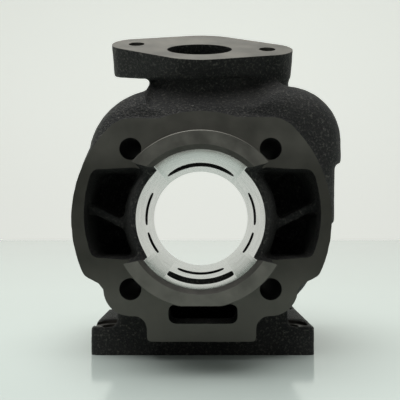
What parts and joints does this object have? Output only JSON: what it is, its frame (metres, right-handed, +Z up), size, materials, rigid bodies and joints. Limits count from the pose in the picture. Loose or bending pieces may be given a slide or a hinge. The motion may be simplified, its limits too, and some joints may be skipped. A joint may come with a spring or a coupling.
{
  "type": "cylinder barrel",
  "caption": "Cast-iron water-cooled two-stroke cylinder barrel with a cut-away spigot, transfer pockets, tilted exhaust flange and square intake foot.",
  "frame": {"origin": "bore axis at the base gasket face", "axes": "+Y along the bore towards the head, +Z up from the intake foot to the exhaust flange, +X to the side of the coolant bulge"},
  "size_m": [0.0926, 0.08, 0.1175],
  "materials": {
    "cast_iron": "as-cast outside, machined faces, honed bore"
  },
  "bodies": {
    "root": {"barrel": "cast_iron"}
  },
  "joints": []
}
